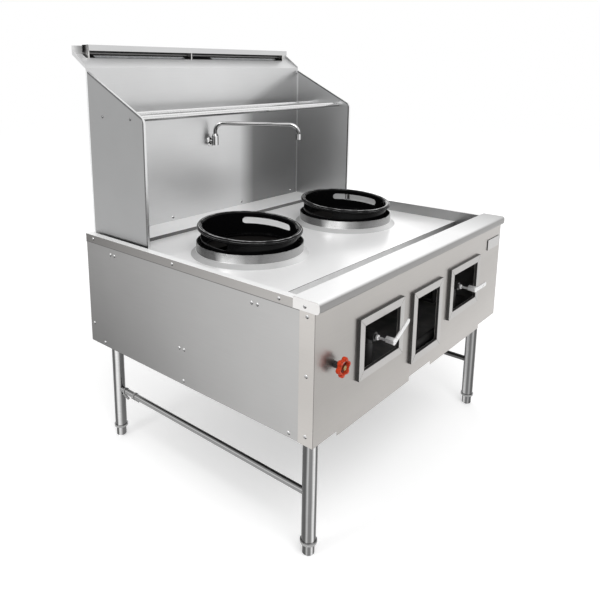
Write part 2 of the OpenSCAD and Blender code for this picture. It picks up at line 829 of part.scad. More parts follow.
module rack_tube(setback) color(bright_steel) place()
    translate([sheet - wing_x, body_d - setback, rack_z]) along_x()
        tube(rack_r, rack_wall, 2 * (wing_x - sheet));

module flue_cap() color(steel) place() extrude_x(-cap_end, cap_end) difference() {
    translate([cap_front, cap_top - cap_h]) square([cap_w, cap_h]);
    translate([cap_front + sheet, cap_top - cap_h - over]) square([cap_w - 2 * sheet, cap_h - sheet + over]);
}

module flue_spacers() color(steel) place()
    for (x = [spacer_end_inset - cap_end, spacer_shift, cap_end - spacer_end_inset])
        extrude_x(x - spacer_t / 2, x + spacer_t / 2) polygon([
            [spacer_front, kick_z(spacer_front)], [spacer_rear, kick_z(spacer_rear)],
            [spacer_rear - sheet, cap_top - sheet], [spacer_front, cap_top - sheet]
        ]);

module flue_duct(side) color(zinc) place() on_side(side) difference() {
    union() {
        difference() {
            box([duct_in, body_d, duct_bottom], [duct_out, body_d + duct_d, flue_lip_base]);
            box([duct_in + sheet, body_d - over, duct_bottom + sheet],
                [duct_out - sheet, body_d + duct_d - sheet, flue_lip_base + over]);
        }
        for (edge = [duct_in - duct_flange, duct_out])
            box([edge, body_d, duct_bottom], [edge + duct_flange, body_d + sheet, back_top - 2 * sheet]);
    }
    extrude_x(duct_in - 2 * duct_flange, duct_out + 2 * duct_flange) polygon([
        [body_d - over, kick_z(body_d - over) - 2 * sheet - fit],
        [flue_lip_y, kick_z(flue_lip_y) - 2 * sheet - fit],
        [flue_lip_y, flue_lip_top], [body_d - over, flue_lip_top]
    ]);
}

// Tap

module tap_flange() color(chrome) place() translate([0, back_face - tap_flange_t, tap_z]) along_y()
    rotate_extrude() difference() {
        polygon([
            [0, 0], [tap_flange_r * tap_cone_share, 0], [tap_flange_r, tap_flange_t / 2],
            [tap_flange_r, tap_flange_t], [0, tap_flange_t]
        ]);
        translate([-over, -over]) square([shank_r + fit + over, tap_flange_t + 2 * over]);
    }

module tap_body() color(chrome) place() difference() {
    union() {
        translate([0, tap_y, tap_bottom]) rotate_extrude() polygon([
            [0, 0], [tap_r, 0], [tap_r, tap_h - tap_cone_h], [tap_r * tap_cone_share, tap_h], [0, tap_h]
        ]);
        translate([0, tap_y, tap_z]) along_y() cylinder(r = shank_r, h = tap_reach + shank_len);
    }
    translate([0, tap_y, tap_top - riser_insert]) cylinder(r = spout_r + running, h = riser_insert + over);
}

// Draws the spout's own frame at the tap: x along the run.
module at_spout() place() translate([0, tap_y, 0]) rotate([0, 0, -spout_turn]) children();

module spout() color(chrome) at_spout() {
    translate([0, 0, tap_top - riser_insert + fit])
        cylinder(r = spout_r, h = spout_z - spout_bend_r - tap_top + riser_insert - fit);
    translate([spout_bend_r, 0, spout_z - spout_bend_r]) mirror([1, 0, 0]) bend(spout_bend_r, spout_r);
    translate([spout_bend_r, 0, spout_z]) along_x() cylinder(r = spout_r, h = spout_run);
    translate([spout_bend_r + spout_run, 0, outlet_drop]) bend(outlet_bend_r, spout_r);
}

module spout_nozzle() color(chrome) at_spout() translate([outlet_x, 0, outlet_drop - nozzle_h]) difference() {
    cylinder(r = nozzle_r, h = nozzle_h);
    translate([0, 0, -over]) cylinder(r = nozzle_r * nozzle_bore_share, h = nozzle_h / 2);
}

// Water

module water_valve() color(brass) place() translate([wheel_x, 0, wheel_z]) difference() {
    union() {
        translate([0, -bonnet_len, 0]) along_y() cylinder(r = bonnet_r, h = bonnet_len + water_valve_y);
        translate([0, water_valve_y, 0]) along_y() cylinder(r = water_valve_r, h = water_valve_len);
        translate([0, water_port_y, -water_port_h]) cylinder(r = water_port_r, h = water_port_h);
    }
    translate([0, -bonnet_len - over, 0]) along_y()
        cylinder(r = spindle_r + running, h = bonnet_len + water_valve_y + over);
}

module wheel_outline(ease) difference() {
    union() {
        circle(r = wheel_r * wheel_core_share - ease);
        for (i = [0 : wheel_lobes - 1]) rotate([0, 0, i * 360 / wheel_lobes])
            translate([wheel_r * (1 - wheel_lobe_share), 0]) circle(r = wheel_r * wheel_lobe_share - ease);
    }
    difference() {
        circle(r = wheel_r * wheel_window_share + ease);
        circle(r = wheel_r * wheel_hub_share - ease);
        for (i = [0 : wheel_spokes - 1]) rotate([0, 0, i * 360 / wheel_spokes])
            translate([0, ease - wheel_spoke_w / 2]) square([wheel_r, wheel_spoke_w - 2 * ease]);
    }
    circle(r = spindle_r + fit);
}

// Handwheel: round lobes on the rim, and a recess in the face for the nut.
module handwheel() color(red_paint) place() translate([wheel_x, wheel_t / 2 - wheel_reach, wheel_z])
    rotate([90, 0, 0]) rotate([0, 0, wheel_turn]) difference() {
        for (step_share = [0, 0.5, 1]) {
            low = wheel_ease * (1 - step_share) * (1 - step_share);
            translate([0, 0, low]) linear_extrude(wheel_t - 2 * low) wheel_outline(wheel_ease * step_share);
        }
        translate([0, 0, wheel_t - wheel_recess]) cylinder(r = wheel_r * wheel_window_share + fit, h = wheel_t);
    }

module handwheel_spindle() color(brass) place() translate([wheel_x, 0, wheel_z]) {
    hub_front = -wheel_reach - wheel_t / 2 + wheel_recess;
    translate([0, hub_front - wheel_nut_t, 0]) along_y() cylinder(r = wheel_nut_r, h = wheel_nut_t, $fn = 6);
    translate([0, hub_front, 0]) along_y() cylinder(r = spindle_r, h = water_valve_y - hub_front - fit);
    translate([0, wheel_t / 2 - wheel_reach, 0]) along_y()
        cylinder(r = wheel_nut_r, h = wheel_reach - wheel_t / 2 - bonnet_len - fit);
}

// Threaded end of an inlet, pointing to the rear, with its bore.
module inlet(x, z, pipe_r, thread_r) difference() {
    union() {
        children();
        translate([x, inlet_end - inlet_thread, z]) along_y() cylinder(r = thread_r, h = inlet_thread);
    }
    translate([x, inlet_end - inlet_thread, z]) along_y()
        cylinder(r = pipe_r - inlet_wall, h = inlet_thread + over);
}

module water_pipes() color(zinc) place() {
    inlet(wheel_x, supply_z, water_r, water_inlet_r) pipe_run([
        [wheel_x, inlet_end, supply_z], [wheel_x, water_port_y, supply_z],
        [wheel_x, water_port_y, wheel_z - water_port_h]
    ], water_r);
    pipe_run([
        [wheel_x, water_valve_rear, wheel_z], [wheel_x, rear_run_y, wheel_z], [0, rear_run_y, wheel_z],
        [0, rear_run_y, tap_z], [0, body_d + shank_len, tap_z]
    ], water_r);
}

// Gas

module gas_manifold() color(zinc) place() {
    inlet(-gas_x, gas_z, gas_r, gas_inlet_r) pipe_run([
        [-gas_x, inlet_end, gas_z], [-gas_x, manifold_y, gas_z], [burner_x, manifold_y, gas_z],
        [burner_x, manifold_y, valve_foot]
    ], gas_r);
    bar([-burner_x, manifold_y, gas_z], [-burner_x, manifold_y, valve_foot], gas_r);
}

module gas_valve(side) color(brass) place() translate([side * burner_x, 0, valve_z]) difference() {
    union() {
        translate([0, valve_y, 0]) along_y() cylinder(r = valve_r, h = valve_len);
        translate([0, valve_y - gland_len, 0]) along_y() cylinder(r = gland_r, h = gland_len);
        translate([0, manifold_y, -valve_r - valve_boss_r])
            cylinder(r = valve_boss_r, h = valve_r + valve_boss_r);
    }
    translate([0, valve_y - gland_len - over, 0]) along_y()
        cylinder(r = spindle_r + running, h = gland_len + valve_bore_len + over);
}

module gas_feed(side) color(zinc) place() translate([side * burner_x, 0, 0]) {
    pipe_run([
        [0, valve_rear, valve_z], [0, feed_down_y, valve_z], [0, feed_down_y, mixer_z],
        [0, mixer_y - injector_len, mixer_z]
    ], feed_r);
    translate([0, mixer_y - injector_len, mixer_z]) along_y()
        cylinder(r = injector_r, h = injector_len, $fn = 6);
}

// Lever: a strip bent at a right angle, its leg fixed along the spindle. Drawn pointing to +x.
module gas_lever(side, lift) color(chrome) place()
    translate([side * burner_x, 0, valve_z]) rotate([0, -lift, 0]) {
        translate([0, -lever_reach, 0]) along_y()
            cylinder(r = spindle_r, h = lever_reach + valve_y + valve_bore_len - fit);
        translate([0, -lever_reach, 0]) along_y() cylinder(r = collar_nut_r, h = lever_leg);
        translate([0, -lever_front, 0]) along_y() cylinder(r = lever_w / 2, h = lever_t);
        box([0, -lever_front, -lever_w / 2], [lever_len - lever_w / 2, -lever_reach, lever_w / 2]);
        translate([lever_len - lever_w / 2, -lever_front, 0]) along_y() cylinder(r = lever_w / 2, h = lever_t);
        box([-spindle_r, -lever_front, spindle_r],
            [lever_w / 2, lever_leg - lever_reach, lever_w / 2 + lever_t]);
    }

// Legs

module leg(index) color(bright_steel) place() translate([leg_places[index].x, leg_places[index].y, leg_foot])
    tube(leg_r, leg_wall, body_bottom - leg_foot);

module foot_sockets() color(bright_steel) place()
    for (spot = leg_places) translate([spot.x, spot.y, foot_h]) difference() {
        union() {
            cylinder(r = socket_r, h = socket_t);
            cylinder(r = leg_r - leg_wall - fit, h = socket_t + plug_len);
        }
        translate([0, 0, -over]) cylinder(r = stud_r + running, h = socket_t + plug_len + 2 * over);
    }

module foot(index) color(bright_steel) place() translate([leg_places[index].x, leg_places[index].y, 0]) {
    cylinder(r1 = foot_r * foot_base_share, r2 = foot_r, h = foot_chamfer);
    translate([0, 0, foot_chamfer]) cylinder(r = foot_r, h = foot_h - foot_chamfer - fit);
    translate([0, 0, foot_chamfer]) cylinder(r = stud_r, h = foot_h - foot_chamfer + stud_len);
}

module stretcher(side) color(bright_steel) place() translate([side * leg_x, 0, stretcher_z]) difference() {
    translate([0, leg_front, 0]) along_y() tube(stretcher_r, leg_wall, leg_rear - leg_front);
    for (y = [leg_front, leg_rear]) translate([0, y, -leg_r]) cylinder(r = leg_r + fit, h = 2 * leg_r);
}

module clipped_bar(y, r, len, lean) translate([-leg_x, y, stretcher_z]) {
    drop = stretcher_r + 2 * fit + r + len / 2 * sin(lean);
    translate([0, -clip_w / 2, 0]) along_y() tube(stretcher_r + fit + leg_wall, leg_wall, clip_w);
    translate([0, 0, -drop]) cylinder(r = clip_post_r, h = drop - stretcher_r - fit - leg_wall / 2);
    translate([0, 0, -drop]) rotate([90 + lean, 0, 0]) translate([0, 0, -len / 2]) cylinder(r = r, h = len);
}

module stretcher_fittings() color(bright_steel) place() {
    clipped_bar(leg_rear - stub_inset, stub_r, stub_len, stub_lean);
    clipped_bar(leg_rear - rod_inset, rod_r, rod_len, 0);
}

// Screws: dome heads on the sides, the end caps, the back panel and the wings.
module screw_head() rotate_extrude() intersection() {
    translate([0, screw_h - (screw_r * screw_r + screw_h * screw_h) / (2 * screw_h)])
        circle(r = (screw_r * screw_r + screw_h * screw_h) / (2 * screw_h));
    square([screw_r, screw_h]);
}

module side_screw(x, y, z) translate([x, y, z]) along_x() screw_head();

module panel_screws() color(bright_steel) place() {
    for (side = [-1, 1]) on_side(side) {
        for (share = band_screw_shares) side_screw(half_w, share * body_d, band_bottom + band_h / 2);
        side_screw(half_w, rail_front + cap_screw_share * rail_d, band_bottom + band_h / 2);
        for (share = wrap_screw_shares)
            side_screw(half_w, corner_wrap / 2, body_bottom + share * side_h);
        for (spot = pair_places_shares, turn = [-1, 1])
            side_screw(side_face, spot.x * body_d + turn * pair_gap / 2, body_bottom + spot.y * side_h);
        for (spot = single_places_shares)
            side_screw(side_face, spot.x * body_d, body_bottom + spot.y * side_h);
        for (setback = [rack_front, rack_rear]) side_screw(wing_x, body_d - setback, rack_z);
    }
    for (share = back_screw_shares)
        translate([share * wing_x, back_face, ledge_z + back_screw_rise]) rotate([90, 0, 0]) screw_head();
}

// Nodes

module left_panel() side_panel(-1);
module right_panel() side_panel(1);
module left_rail_cap() rail_cap(-1);
module right_rail_cap() rail_cap(1);
module left_window_frame() window_frame(-burner_x, window_z, window_w, window_h);
module centre_window_frame() window_frame(0, mid_window_z, mid_window_w, mid_window_h);
module right_window_frame() window_frame(burner_x, window_z, window_w, window_h);
module left_collar() ring_collar(-1);
module right_collar() ring_collar(1);
module left_wok_ring() wok_ring(-1);
module right_wok_ring() wok_ring(1);
module left_fire_pot() fire_pot(-1);
module right_fire_pot() fire_pot(1);
module left_burner() burner(-1);
module right_burner() burner(1);
module left_wing() wing(-1);
module right_wing() wing(1);
module front_rack_tube() rack_tube(rack_front);
module rear_rack_tube() rack_tube(rack_rear);
module left_flue_duct() flue_duct(-1);
module right_flue_duct() flue_duct(1);
module left_gas_valve() gas_valve(-1);
module right_gas_valve() gas_valve(1);
module left_gas_feed() gas_feed(-1);
module right_gas_feed() gas_feed(1);
module left_lever() gas_lever(-1, left_lever_lift);
module right_lever() gas_lever(1, 0);
module front_left_leg() leg(0);
module front_right_leg() leg(1);
module rear_left_leg() leg(2);
module rear_right_leg() leg(3);
module front_left_foot() foot(0);
module front_right_foot() foot(1);
module rear_left_foot() foot(2);
module rear_right_foot() foot(3);
module left_stretcher() stretcher(-1);
module right_stretcher() stretcher(1);

front_panel();
left_panel();
right_panel();
rear_panel();
base_frame();
base_pan();
hob_top();
gutter();
front_rail();
left_rail_cap();
right_rail_cap();
left_window_frame();
centre_window_frame();
right_window_frame();
left_collar();
right_collar();
left_wok_ring();
right_wok_ring();
left_fire_pot();
right_fire_pot();
left_burner();
right_burner();
back_panel();
left_wing();
right_wing();
front_rack_tube();
rear_rack_tube();
flue_lip();
flue_cap();
flue_spacers();
left_flue_duct();
right_flue_duct();
tap_flange();
tap_body();
spout();
spout_nozzle();
water_valve();
handwheel();
handwheel_spindle();
water_pipes();
gas_manifold();
left_gas_valve();
right_gas_valve();
left_gas_feed();
right_gas_feed();
left_lever();
right_lever();
front_left_leg();
front_right_leg();
rear_left_leg();
rear_right_leg();
front_left_foot();
front_right_foot();
rear_left_foot();
rear_right_foot();
foot_sockets();
left_stretcher();
right_stretcher();
stretcher_fittings();
panel_screws();
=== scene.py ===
import bmesh
import bpy
from mathutils import Matrix, Vector


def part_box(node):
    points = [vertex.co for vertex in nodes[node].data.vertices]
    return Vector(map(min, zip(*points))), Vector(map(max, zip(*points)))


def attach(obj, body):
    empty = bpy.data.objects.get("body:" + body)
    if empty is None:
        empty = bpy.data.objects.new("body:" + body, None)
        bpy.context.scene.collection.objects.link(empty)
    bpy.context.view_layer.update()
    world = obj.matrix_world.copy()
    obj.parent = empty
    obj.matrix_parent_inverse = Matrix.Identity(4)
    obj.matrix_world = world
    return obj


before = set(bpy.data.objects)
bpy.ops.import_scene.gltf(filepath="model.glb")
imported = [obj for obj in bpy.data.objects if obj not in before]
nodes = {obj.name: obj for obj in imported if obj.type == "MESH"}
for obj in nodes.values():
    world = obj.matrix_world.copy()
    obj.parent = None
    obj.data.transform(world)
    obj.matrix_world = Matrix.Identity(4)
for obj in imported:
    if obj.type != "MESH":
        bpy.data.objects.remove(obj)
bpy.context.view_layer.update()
scene = bpy.context.scene
scene.view_settings.view_transform = "Standard"


# Sizes and places on the part, in metres, from the frame where it gives them

SHEET = 0.0015
front_lo, front_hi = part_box("front_panel")
FRONT, HALF_WIDTH = front_lo.y, front_hi.x
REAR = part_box("hob_top")[1].y
GUTTER_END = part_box("gutter")[1].x - SHEET
BAND_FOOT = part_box("left_rail_cap")[0].z
# The shading of the lower sheets starts a little above their edge
SHADE_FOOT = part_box("left_panel")[0].z + 0.017
VALVE_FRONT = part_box("left_gas_valve")[0].y

cap_lo, cap_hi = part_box("flue_cap")
CAP_FRONT, CAP_MID, CAP_END, CAP_FOOT = cap_lo.y, (cap_lo.y + cap_hi.y) / 2, cap_hi.x, cap_lo.z
LIP_FOOT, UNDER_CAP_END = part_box("flue_lip")[0].z, CAP_END + 0.002

wheel_lo, wheel_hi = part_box("handwheel")
WHEEL_MID, WHEEL_R = (wheel_lo + wheel_hi) / 2, (wheel_hi.z - wheel_lo.z) / 2

collar_lo, collar_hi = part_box("right_collar")
COLLAR_MID = (collar_lo + collar_hi) / 2
# The ring leans, so its bead lies within this much of its top
RING_LEAN = 0.040
BEAD_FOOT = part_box("left_wok_ring")[1].z - RING_LEAN

wing_lo, wing_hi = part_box("left_wing")
WING_FRONT, WING_REAR, WING_TOP = wing_lo.y, wing_hi.y, wing_hi.z
WING_SLOPE = 0.49
WING_SHOULDER = WING_TOP - WING_SLOPE * (WING_REAR - WING_FRONT)
BACK_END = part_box("back_panel")[1].x

# A dark line starts and ends this far from the fold beside it; under the hob's edge band it is a painted
# shadow
DARK_LINE_START, DARK_LINE_END = 0.0035, 0.0015


# Materials. Colours are linear; texture scales are per metre in the object's own frame.

# Sockets of a Mix node that mixes colours
MIX_FACTOR, MIX_FIRST, MIX_SECOND, MIX_RESULT = 0, 6, 7, 2
BEVEL_SAMPLES = 4


class Graph:
    """Makes and links the nodes of one node tree."""

    def __init__(self, owner):
        owner.use_nodes = True
        self.tree = owner.node_tree
        self.tree.nodes.clear()

    def node(self, kind, **props):
        node = self.tree.nodes.new("ShaderNode" + kind)
        for key, value in props.items():
            setattr(node, key, value)
        return node

    def link(self, output, socket):
        self.tree.links.new(output, socket)

    def put(self, socket, value):
        """Links an output to a socket, or sets the socket's own value."""
        if isinstance(value, bpy.types.NodeSocket):
            self.link(value, socket)
        else:
            socket.default_value = value

    def math(self, operation, a, b=0.0):
        node = self.node("Math", operation=operation)
        self.put(node.inputs[0], a)
        self.put(node.inputs[1], b)
        return node.outputs["Value"]

    def plus(self, a, b):
        return self.math("ADD", a, b)

    def minus(self, a, b):
        return self.math("SUBTRACT", a, b)

    def times(self, a, b):
        return self.math("MULTIPLY", a, b)

    def larger(self, a, b):
        return self.math("MAXIMUM", a, b)

    def smaller(self, a, b):
        return self.math("MINIMUM", a, b)

    def size(self, value):
        """A value without its sign."""
        return self.math("ABSOLUTE", value)

    def span(self, value, lo, hi, to_lo=0.0, to_hi=1.0):
        """A value carried from one range to another, held at the ends."""
        node = self.node("MapRange")
        for key, number in zip(("From Min", "From Max", "To Min", "To Max"), (lo, hi, to_lo, to_hi)):
            node.inputs[key].default_value = number
        self.link(value, node.inputs["Value"])
        return node.outputs["Result"]

    def seen(self):
        """1 on rays from the camera, in mirrors and through glass, 0 on those that only carry light."""
        path = self.node("LightPath")
        value = path.outputs["Is Camera Ray"]
        for ray in ("Is Glossy Ray", "Is Transmission Ray"):
            value = self.larger(value, path.outputs[ray])
        return value


class Mat(Graph):
    """A Principled material with a small procedural graph."""

    def __init__(self, name, metallic=1.0, specular=0.5):
        self.material = bpy.data.materials.new(name)
        super().__init__(self.material)
        self.shader = self.node("BsdfPrincipled")
        self.shader.inputs["Metallic"].default_value = metallic
        self.shader.inputs["Specular IOR Level"].default_value = specular
        self.link(self.shader.outputs["BSDF"], self.node("OutputMaterial").inputs["Surface"])
        self.where = self.node("TexCoord").outputs["Object"]

    def noise(self, scale, detail=3.0, rough=0.6):
        """Noise from 0 to 1. The scale is one number, or one for each axis."""
        place = self.node("Mapping")
        place.inputs["Scale"].default_value = scale if isinstance(scale, tuple) else (scale, scale, scale)
        self.link(self.where, place.inputs["Vector"])
        node = self.node("TexNoise")
        node.inputs["Scale"].default_value = 1.0
        node.inputs["Detail"].default_value = detail
        node.inputs["Roughness"].default_value = rough
        self.link(place.outputs["Vector"], node.inputs["Vector"])
        return node.outputs["Fac"]

    def mix(self, factor, a, b, blend="MIX"):
        node = self.node("Mix", data_type="RGBA", blend_type=blend)
        self.put(node.inputs[MIX_FACTOR], factor)
        for number, colour in ((MIX_FIRST, a), (MIX_SECOND, b)):
            linked = isinstance(colour, bpy.types.NodeSocket)
            self.put(node.inputs[number], colour if linked else (*colour, 1.0))
        return node.outputs[MIX_RESULT]

    def tint(self, colour, warm):
        """A grey colour made a little warmer, or cooler below 0."""
        return self.mix(1.0, colour, grey(1.0, warm), "MULTIPLY")

    def normal(self):
        return self.node("NewGeometry").outputs["Normal"]

    def rounded(self, radius):
        """The normal as it would be with edges rounded to the radius."""
        node = self.node("Bevel", samples=BEVEL_SAMPLES)
        node.inputs["Radius"].default_value = radius
        return node.outputs["Normal"]

    def dot(self, a, b):
        """How far two directions agree: 1 alike, 0 square, -1 opposite."""
        node = self.node("VectorMath", operation="DOT_PRODUCT")
        self.link(a, node.inputs[0])
        self.put(node.inputs[1], b)
        return node.outputs["Value"]

    def part(self, vector, name):
        node = self.node("SeparateXYZ")
        self.link(vector, node.inputs["Vector"])
        return node.outputs[name]

    def axis(self, name):
        """The object's X, Y or Z in metres."""
        return self.part(self.where, name)

    def facing(self, name):
        """The surface normal's X, Y or Z."""
        return self.part(self.normal(), name)

    def across(self, half):
        """0 at the left end of a piece that is two halves wide, 1 at its right end."""
        return self.span(self.axis("X"), -half, half)

    def shade(self, value):
        """A grey colour from a value."""
        node = self.node("CombineColor")
        for socket in node.inputs:
            self.link(value, socket)
        return node.outputs["Color"]

    def level(self, colour):
        """A value from a grey colour."""
        node = self.node("RGBToBW")
        self.link(colour, node.inputs["Color"])
        return node.outputs["Val"]

    def ramp(self, value, stops):
        """Grey tones at places from 0 to 1."""
        node = self.node("ValToRGB")
        bar = node.color_ramp.elements
        while len(bar) < len(stops):
            bar.new(1.0)
        # The bar sorts itself by place, so the tones follow when all the places are set
        for element, (place, _) in zip(bar, stops):
            element.position = place
        for element, (_, tone) in zip(bar, stops):
            element.color = (tone, tone, tone, 1.0)
        self.link(value, node.inputs["Fac"])
        return node.outputs["Color"]

    def edges(self, radius):
        """1 along sharp edges within the radius, 0 on open faces."""
        return self.span(self.dot(self.rounded(radius), self.normal()), 1.0, 0.88)

    def metal(self, value):
        """Makes the surface metal in some places and not in others."""
        self.link(value, self.shader.inputs["Metallic"])

    def finish(self, colour, rough, edge=0.0, bump=None):
        """Connects colour and roughness, with eased edges and a bump where they are given.

        A bump is its height, its depth in metres and its strength."""
        self.link(colour, self.shader.inputs["Base Color"])
        self.link(rough, self.shader.inputs["Roughness"])
        normal = self.rounded(edge) if edge else None
        if bump is not None:
            height, depth, strength = bump
            node = self.node("Bump")
            node.inputs["Strength"].default_value = strength
            node.inputs["Distance"].default_value = depth
            self.link(height, node.inputs["Height"])
            if normal is not None:
                self.link(normal, node.inputs["Normal"])
            normal = node.outputs["Normal"]
        if normal is not None:
            self.link(normal, self.shader.inputs["Normal"])
        return self.material


def grey(tone, warm=0.0):
    return (tone * (1 + warm), tone, tone * (1 - warm))


# Brush lines: texture scales along X, Y and Z, large across the lines
LEVEL_GRAIN, FINE_GRAIN = (7, 7, 420), (60, 60, 900)
SHEET_EDGE = 0.0008
INSIDE = 0.20


def brushed(mat, tone, rough, grain, warm=0.01, inside=None, metal=None):
    """Sheet steel with fine brush lines along one way, faint cloudy patches and smears.

    The tone is a number or a value from the graph. A sheet has inside, which is 1 on dull faces that
    look into the body, or metal, which says how metallic each place is, or neither."""
    lines = mat.noise(grain, 2.0, 0.7)
    cloud = mat.noise(2.3)
    smear = mat.noise((9, 9, 16), 4.0, 0.65)
    level = mat.times(mat.span(cloud, 0.3, 0.7, 0.97, 1.03), mat.span(lines, 0.25, 0.75, 1.012, 0.985))
    colour = mat.tint(mat.shade(mat.times(level, tone)), warm)
    gloss = mat.span(lines, 0.2, 0.8, rough - 0.01, rough + 0.01)
    gloss = mat.plus(gloss, mat.span(smear, 0.35, 0.75, -0.01, 0.015))
    if inside is not None:
        dull = mat.mix(mat.span(cloud, 0.35, 0.65), grey(INSIDE), grey(INSIDE * 0.7, 0.05))
        colour = mat.mix(inside, colour, dull)
        gloss = mat.plus(gloss, mat.times(inside, 0.2))
        metal = mat.minus(1.0, inside)
    if metal is not None:
        mat.metal(metal)
    return mat.finish(colour, gloss, SHEET_EDGE)


# Painted reflection bands of polished steel: places from 0 to 1 round the surface, each with its tone
FRONT_LEFT = (
    (0.0, 0.06), (0.24, 0.09), (0.37, 0.46), (0.47, 0.18),
    (0.64, 0.17), (0.76, 0.68), (0.83, 0.66), (0.88, 0.08),
)
REAR_LEFT = ((0.0, 0.10), (0.18, 0.08), (0.29, 0.70), (0.42, 0.70), (0.64, 0.18), (1.0, 0.14))
FRONT_RIGHT = (
    (0.0, 0.06), (0.08, 0.08), (0.18, 0.62), (0.28, 0.64),
    (0.42, 0.16), (0.54, 0.16), (0.68, 0.40), (0.82, 0.09),
)
FORE_AFT = ((0.0, 0.06), (0.15, 0.08), (0.32, 0.31), (0.46, 0.18), (0.59, 0.60), (0.69, 0.22), (1.0, 0.30))
SHADED = ((0.0, 0.07), (0.3, 0.08), (0.6, 0.11), (0.9, 0.15), (1.0, 0.30))
ACROSS = (
    (0.0, 0.55), (0.12, 0.68), (0.2, 0.96), (0.32, 0.90), (0.42, 0.62), (0.5, 0.70),
    (0.58, 0.92), (0.70, 0.66), (0.78, 0.50), (0.86, 0.32), (1.0, 0.30),
)
SPOUT = (
    (0.0, 0.30), (0.1, 0.66), (0.36, 0.70), (0.44, 0.14), (0.62, 0.10),
    (0.70, 0.34), (0.80, 0.60), (0.90, 0.12), (1.0, 0.08),
)
BARREL = (
    (0.0, 0.03), (0.14, 0.05), (0.22, 0.60), (0.34, 0.66), (0.42, 0.12),
    (0.54, 0.30), (0.62, 0.80), (0.82, 0.74), (0.92, 0.20), (1.0, 0.10),
)
TURNED = (
    (0.0, 0.18), (0.1, 0.11), (0.21, 0.20), (0.29, 0.95), (0.38, 0.95),
    (0.5, 0.36), (0.62, 0.19), (0.8, 0.32), (1.0, 0.44),
)

# Faces turned to the rear right aren't in the photo, and have these bands instead
TO_FAR_SIDE = Vector((0.74, 0.64, -0.20))
# Painted reflection bands for those faces
FAR_SIDE = (
    (0.0, 0.10), (0.18, 0.16), (0.32, 0.62), (0.46, 0.58),
    (0.58, 0.18), (0.74, 0.24), (0.86, 0.60), (1.0, 0.20),
)


def banded(name, across, stops, rough, along, own=False):
    """Polished tube along X, Y or Z: painted reflections in bright and dark bands, set by the way that the
    surface faces.

    The bands are counted in the direction across. With own, that direction turns with the object."""
    mat = Mat(name)
    normal = mat.node("TexCoord").outputs["Normal"] if own else mat.normal()
    wave = mat.noise(tuple(5 if axis == along else 30 for axis in "XYZ"), 2.0, 0.5)
    fine = mat.noise(tuple(900 if axis == along else 40 for axis in "XYZ"), 2.0)
    place = mat.plus(mat.span(mat.dot(normal, across), -1.0, 1.0), mat.span(wave, 0.3, 0.7, -0.02, 0.02))
    away = Vector([float(axis == along) for axis in "XYZ"]).cross(Vector(across))
    if away.dot(TO_FAR_SIDE) < 0:
        away.negate()
    far = mat.span(mat.dot(normal, away), 0.05, 0.2)
    # Painted reflections: one set of bands for faces in view, another for the far side
    bands = mat.mix(far, mat.ramp(place, stops), mat.ramp(place, FAR_SIDE))
    colour = mat.mix(mat.span(fine, 0.3, 0.7, 0.0, 0.15), bands, grey(0.12))
    gloss = mat.span(fine, 0.2, 0.8, rough - 0.03, rough + 0.04)
    return mat.finish(colour, gloss, 0.0006, (fine, 0.00004, 0.15))


def cast(name, tone, rough, pit=260.0):
    """Rough casting with pits and a dusting of rust."""
    mat = Mat(name, metallic=0.0, specular=0.25)
    pits = mat.noise(pit, 4.0)
    rust = mat.span(mat.noise(22), 0.4, 0.75, 0.0, 0.6)
    colour = mat.mix(rust, grey(tone, 0.03), (tone * 1.5, tone * 0.95, tone * 0.7))
    return mat.finish(colour, mat.span(pits, 0.3, 0.7, rough - 0.1, rough + 0.15), bump=(pits, 0.0006, 0.5))


def satin_plate(name, low, high, rough):
    """Plated steel with a fine cast texture."""
    mat = Mat(name, metallic=0.6)
    grain = mat.noise(650)
    haze = mat.noise(45)
    colour = mat.mix(mat.span(grain, 0.35, 0.65), grey(low), grey(high))
    gloss = mat.span(haze, 0.3, 0.7, rough - 0.04, rough + 0.05)
    return mat.finish(colour, gloss, 0.0008, (grain, 0.0002, 0.3))


def dark_paint(name, low, high):
    """Matt paint with a film of dust and a fine texture."""
    mat = Mat(name, metallic=0.0, specular=0.3)
    dust = mat.noise(26, 4.0, 0.65)
    fine = mat.noise(500, 2.0, 0.5)
    colour = mat.mix(mat.span(dust, 0.4, 0.75), grey(low), grey(high, 0.03))
    return mat.finish(colour, mat.span(fine, 0.3, 0.7, 0.45, 0.6), bump=(fine, 0.0002, 0.3))


def side_sheet():
    """Side sheets in painted light and shade: lighter towards the front, painted shade at the rear foot, a
    painted shadow under the hob's edge band.

    They are unpolished inside."""
    mat = Mat("brushed_steel_side")
    shade_top, shade_front, shade_rear = 0.72, -0.30, 0.40
    y, z = mat.axis("Y"), mat.axis("Z")
    # Painted light: lighter towards the front
    stops = ((0.0, 0.42), (0.09, 0.41), (0.25, 0.38), (0.5, 0.335), (0.75, 0.28), (1.0, 0.235))
    tone = mat.ramp(mat.span(y, FRONT, REAR), stops)
    # Painted shade low down, most towards the rear
    low = mat.span(z, SHADE_FOOT, shade_top, 0.40, 0.0)
    low = mat.times(low, mat.span(y, shade_front, shade_rear, 0.15, 1.0))
    tone = mat.times(tone, mat.minus(1.0, low))
    # Painted shadow: a dark line under the hob's edge band
    tone = mat.times(tone, mat.span(z, BAND_FOOT - DARK_LINE_START, BAND_FOOT - DARK_LINE_END, 1.0, 0.30))
    inside = mat.span(mat.times(mat.facing("X"), mat.axis("X")), -0.1, -0.3)
    return brushed(mat, tone, 0.33, LEVEL_GRAIN, 0.009, inside)


